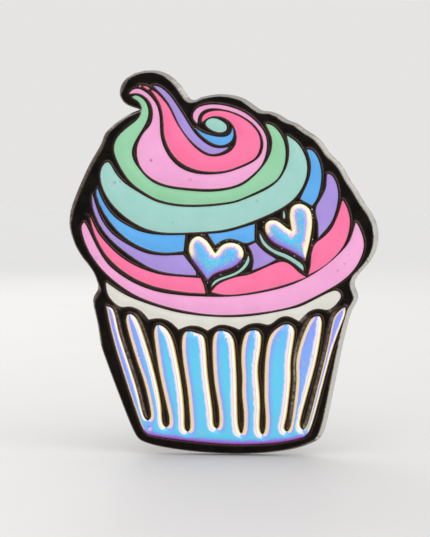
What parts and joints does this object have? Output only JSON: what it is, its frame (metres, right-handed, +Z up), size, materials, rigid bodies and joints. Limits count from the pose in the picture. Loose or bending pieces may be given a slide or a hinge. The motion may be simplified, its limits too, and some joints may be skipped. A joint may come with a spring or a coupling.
{
  "type": "enamel lapel pin",
  "caption": "Cupcake-shaped enamel lapel pin: a dyed metal plate with coloured inlays, posts set in its back and a spring butterfly clutch on each post.",
  "frame": {"origin": "on the flat back face of the plate, at the middle of the artwork's width and height", "axes": "+Z up as worn, -Y the way the artwork faces, +Y the way the posts point, +X to the right of somebody who looks at the artwork"},
  "size_m": [0.0403, 0.0112, 0.0502],
  "materials": {
    "plate": "glossy black dyed metal",
    "mint": "satin enamel",
    "pale_pink": "satin enamel",
    "rose": "satin enamel",
    "lilac": "satin enamel",
    "sky": "satin enamel",
    "aqua": "satin enamel",
    "cream": "satin enamel",
    "foil": "iridescent foil under clear resin",
    "nickel": "nickel plate",
    "brass": "bare brass wire"
  },
  "bodies": {
    "pin": {"plate": "plate", "mint_swirl": "mint", "pink_swirl": "pale_pink", "tip_fleck": "rose", "tip_dash": "rose", "rose_swirl": "rose", "lilac_curl": "lilac", "sky_crescent": "sky", "aqua_oval": "aqua", "aqua_band": "aqua", "sky_left": "sky", "sky_middle": "sky", "sky_right": "sky", "lilac_left": "lilac", "lilac_middle": "lilac", "lilac_right": "lilac", "rose_left": "rose", "rose_middle": "rose", "rose_right": "rose", "pink_base": "pale_pink", "heart_left": "foil", "heart_left_shade": "aqua", "heart_right": "foil", "heart_right_shade": "aqua", "notch_sliver": "aqua", "cream_edge": "cream", "wrapper": "foil", "post_upper": "nickel", "post_lower": "nickel"},
    "upper_grip": {"upper_clutch_grip": "brass"},
    "upper_shell": {"upper_clutch_base": "nickel", "upper_clutch_dome": "nickel"},
    "upper_right_wing": {"upper_clutch_wing_right": "nickel"},
    "upper_left_wing": {"upper_clutch_wing_left": "nickel"},
    "lower_grip": {"lower_clutch_grip": "brass"},
    "lower_shell": {"lower_clutch_base": "nickel", "lower_clutch_dome": "nickel"},
    "lower_right_wing": {"lower_clutch_wing_right": "nickel"},
    "lower_left_wing": {"lower_clutch_wing_left": "nickel"}
  },
  "joints": [
    {"name": "upper_slide", "type": "slide", "parent": "pin", "child": "upper_grip", "axis": [0, 1, 0], "range_m": [-0.0021, 0.0075]},
    {"name": "upper_spin", "type": "hinge", "parent": "upper_grip", "child": "upper_shell", "pos_m": [0, 0.0022, 0.0105], "axis": [0, 1, 0], "continuous": true},
    {"name": "upper_squeeze", "type": "hinge", "parent": "upper_shell", "child": "upper_right_wing", "pos_m": [0.0023, 0.00355, 0.0105], "axis": [0, 0, 1], "range_deg": [0, 12], "stiffness_Nm_per_rad": 0.01},
    {"name": "upper_squeeze_left", "type": "hinge", "parent": "upper_shell", "child": "upper_left_wing", "pos_m": [-0.0023, 0.00355, 0.0105], "axis": [0, 0, 1], "range_deg": [-12, 0], "stiffness_Nm_per_rad": 0.01},
    {"name": "lower_slide", "type": "slide", "parent": "pin", "child": "lower_grip", "axis": [0, 1, 0], "range_m": [-0.0021, 0.0075]},
    {"name": "lower_spin", "type": "hinge", "parent": "lower_grip", "child": "lower_shell", "pos_m": [0, 0.0022, -0.011], "axis": [0, 1, 0], "continuous": true},
    {"name": "lower_squeeze", "type": "hinge", "parent": "lower_shell", "child": "lower_right_wing", "pos_m": [0.0023, 0.00355, -0.011], "axis": [0, 0, 1], "range_deg": [0, 12], "stiffness_Nm_per_rad": 0.01},
    {"name": "lower_squeeze_left", "type": "hinge", "parent": "lower_shell", "child": "lower_left_wing", "pos_m": [-0.0023, 0.00355, -0.011], "axis": [0, 0, 1], "range_deg": [-12, 0], "stiffness_Nm_per_rad": 0.01}
  ],
  "couplings": [
    {"joint": "upper_squeeze_left", "follows": "upper_squeeze", "ratio": -1},
    {"joint": "lower_squeeze_left", "follows": "lower_squeeze", "ratio": -1}
  ]
}
